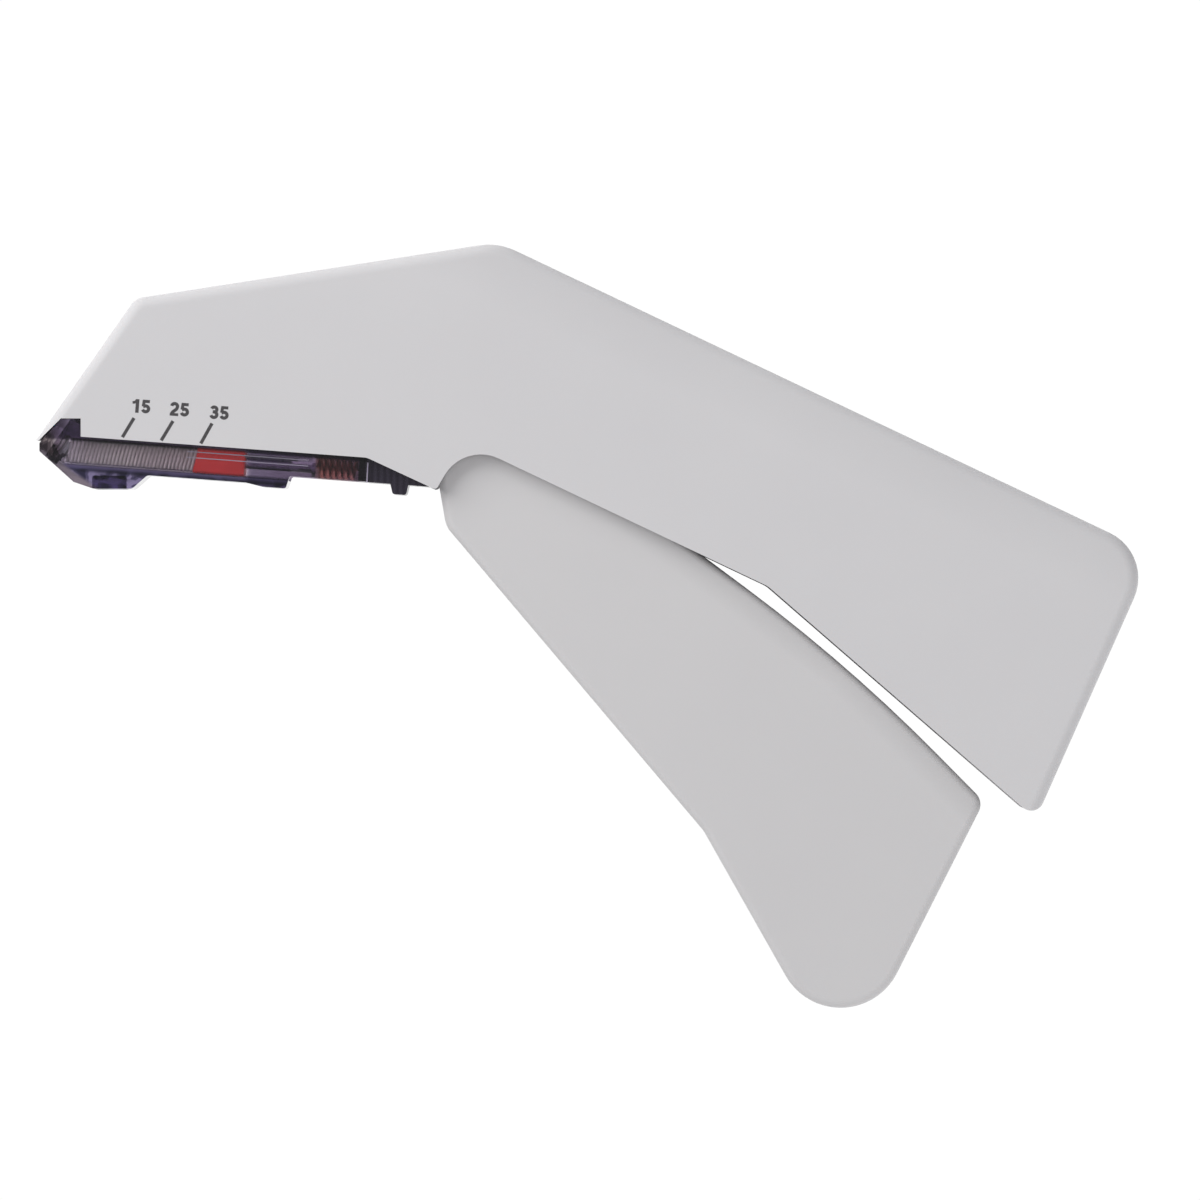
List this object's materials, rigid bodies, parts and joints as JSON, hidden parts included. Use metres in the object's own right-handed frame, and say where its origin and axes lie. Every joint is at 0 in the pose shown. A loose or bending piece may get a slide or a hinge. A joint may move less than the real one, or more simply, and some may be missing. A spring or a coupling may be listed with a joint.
{
  "type": "skin stapler",
  "caption": "Pistol-shaped skin stapler with a two-part white housing, a squeeze trigger, and a clear magazine of wide staples under the nose.",
  "frame": {"origin": "on the resting face (z = 0, the outside of the right shell), straight below the axis of the trigger's pivot", "axes": "+X from the nose to the heel of the handle, +Y from the trigger to the back of the handle, +Z through the thickness, away from the resting face"},
  "size_m": [0.1654, 0.1147, 0.02],
  "materials": {
    "housing_white": "white ABS, fine satin grain",
    "trigger_white": "slightly greyer white ABS, satin",
    "inner_white": "white acetal, smooth",
    "steel": "stainless steel, drawn or stamped",
    "staple_wire": "stainless steel wire",
    "clear_purple": "clear polycarbonate with a smoky purple tint",
    "smoky_purple": "deep smoky purple polycarbonate, glossy",
    "follower_red": "red acetal",
    "dark_spring": "spring steel, seen dark red-brown through the magazine"
  },
  "bodies": {
    "housing": {"left_housing_shell": "housing_white", "right_housing_shell": "housing_white", "pivot_pin": "steel", "return_spring": "steel", "magazine": "clear_purple", "magazine_cover": "clear_purple", "magazine_end_cap": "smoky_purple", "staple_rails": "steel", "anvil_plate": "steel", "ejector_spring": "steel", "staple_stack": "staple_wire", "loaded_staple": "staple_wire", "follower_spring": "dark_spring"},
    "trigger_lever": {"trigger": "trigger_white", "driver_pin": "steel"},
    "driver": {"driver_carrier": "inner_white", "driver_plate": "steel"},
    "pusher": {"follower": "follower_red", "follower_stem": "clear_purple"}
  },
  "joints": [
    {"name": "trigger_squeeze", "type": "hinge", "parent": "housing", "child": "trigger_lever", "pos_m": [0, 0, 0.01], "axis": [0, 0, 1], "range_deg": [0, 13.2], "stiffness_Nm_per_rad": 0.6, "springref_deg": -28.65, "deforming": ["return_spring"]},
    {"name": "driver_slide", "type": "slide", "parent": "housing", "child": "driver", "axis": [-0.5736, -0.8192, 0], "range_m": [0, 0.00645], "deforming": ["loaded_staple"]},
    {"name": "pusher_slide", "type": "slide", "parent": "housing", "child": "pusher", "axis": [-0.9973, 0.0732, 0], "range_m": [0, 0.019], "deforming": ["follower_spring", "staple_stack"]}
  ],
  "couplings": [
    {"joint": "driver_slide", "follows": "trigger_squeeze", "m_per_rad": 0.027902}
  ]
}
